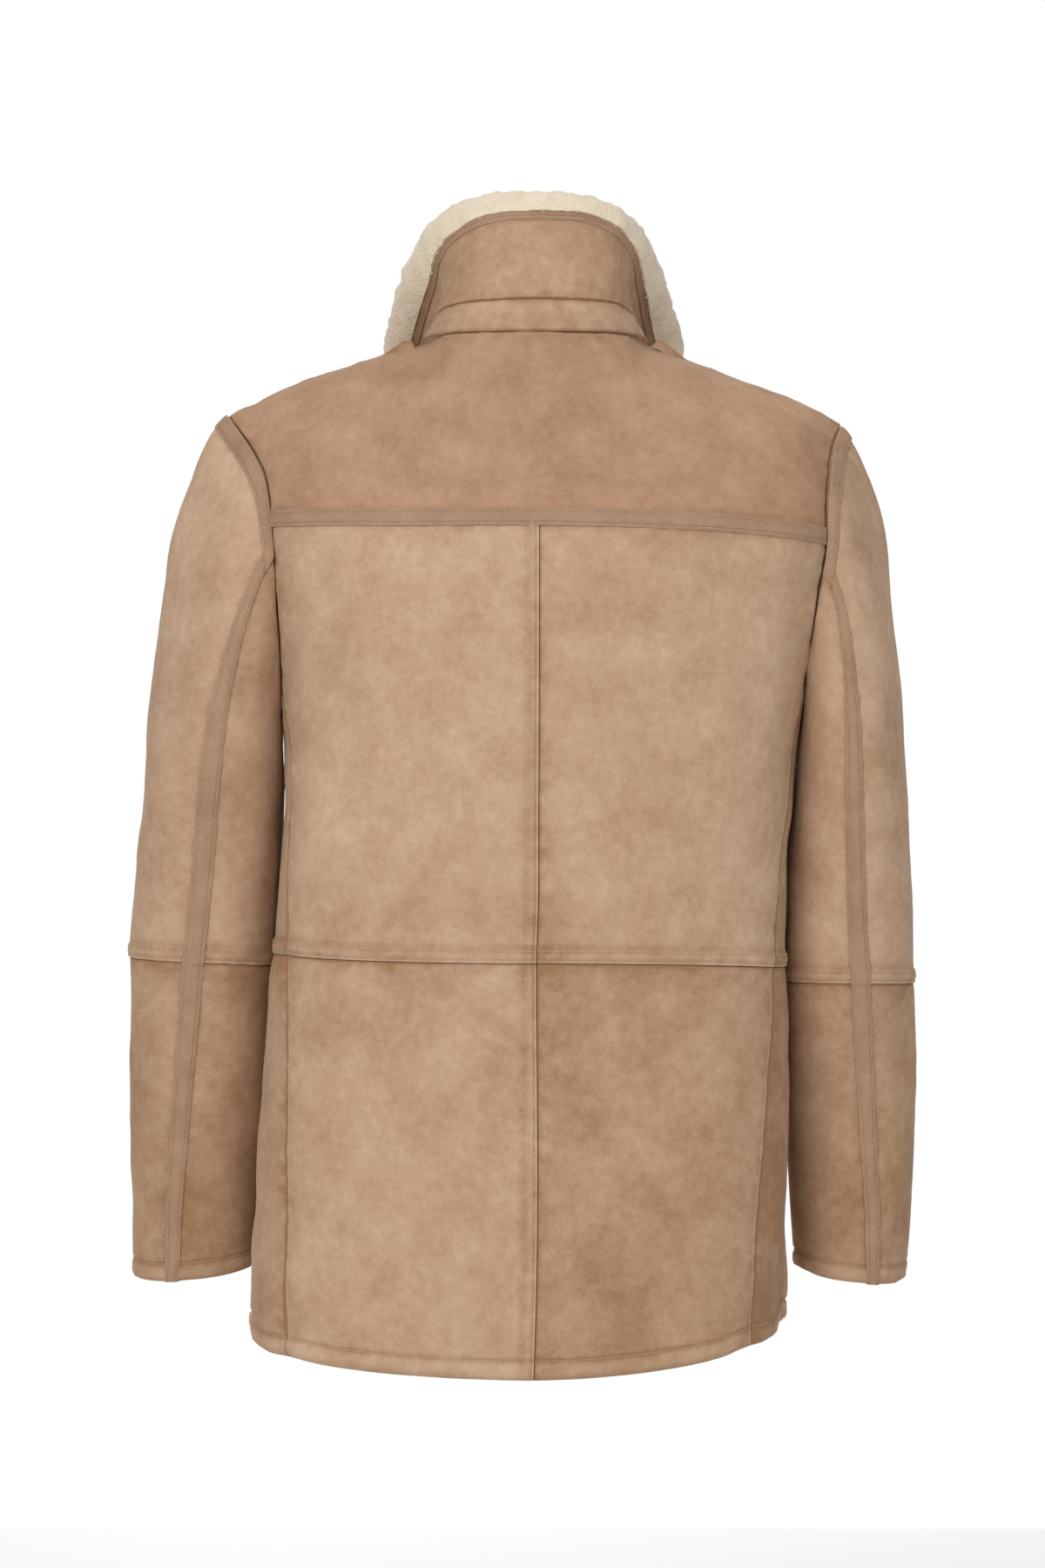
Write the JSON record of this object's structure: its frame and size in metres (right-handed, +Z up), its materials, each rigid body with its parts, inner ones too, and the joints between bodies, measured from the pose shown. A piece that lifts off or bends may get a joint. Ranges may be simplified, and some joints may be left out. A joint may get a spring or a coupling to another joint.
{
  "type": "shearling coat",
  "caption": "Car-length shearling coat, suede side out, with a wide back yoke, taped seams, set-in sleeves and a turned-up collar with a wool rim. It is filled out as if worn, and hollow.",
  "frame": {"origin": "middle of the neck, level with the inner ends of the shoulder seams, where a wearer's shoulders hold the coat", "axes": "+Z up, -Y the coat's front, +X the coat's left"},
  "size_m": [0.6004, 0.2844, 0.8825],
  "materials": {
    "suede": "napped suede",
    "yoke_suede": "napped suede, slightly browner",
    "tape_leather": "smooth, matt",
    "wool": "clipped cream sheep's wool",
    "button_horn": "polished dark horn"
  },
  "bodies": {
    "root": {"back_yoke": "yoke_suede", "back_left": "suede", "back_right": "suede", "side_left": "suede", "side_right": "suede", "front_left": "suede", "front_right": "suede", "skirt_back_left": "suede", "skirt_back_right": "suede", "skirt_side_left": "suede", "skirt_side_right": "suede", "skirt_front_left": "suede", "skirt_front_right": "suede", "topsleeve_upper_left": "suede", "topsleeve_lower_left": "suede", "undersleeve_upper_left": "suede", "undersleeve_lower_left": "suede", "topsleeve_upper_right": "suede", "topsleeve_lower_right": "suede", "undersleeve_upper_right": "suede", "undersleeve_lower_right": "suede", "collar_stand": "suede", "collar_fall": "suede", "collar_edge_tape": "tape_leather", "armhole_tape_left": "tape_leather", "armhole_tape_right": "tape_leather", "sleeve_tape_left": "tape_leather", "sleeve_tape_right": "tape_leather", "yoke_tape": "tape_leather", "collar_wool": "wool", "button_1": "button_horn", "button_2": "button_horn", "button_3": "button_horn", "button_4": "button_horn", "button_5": "button_horn"}
  },
  "joints": []
}
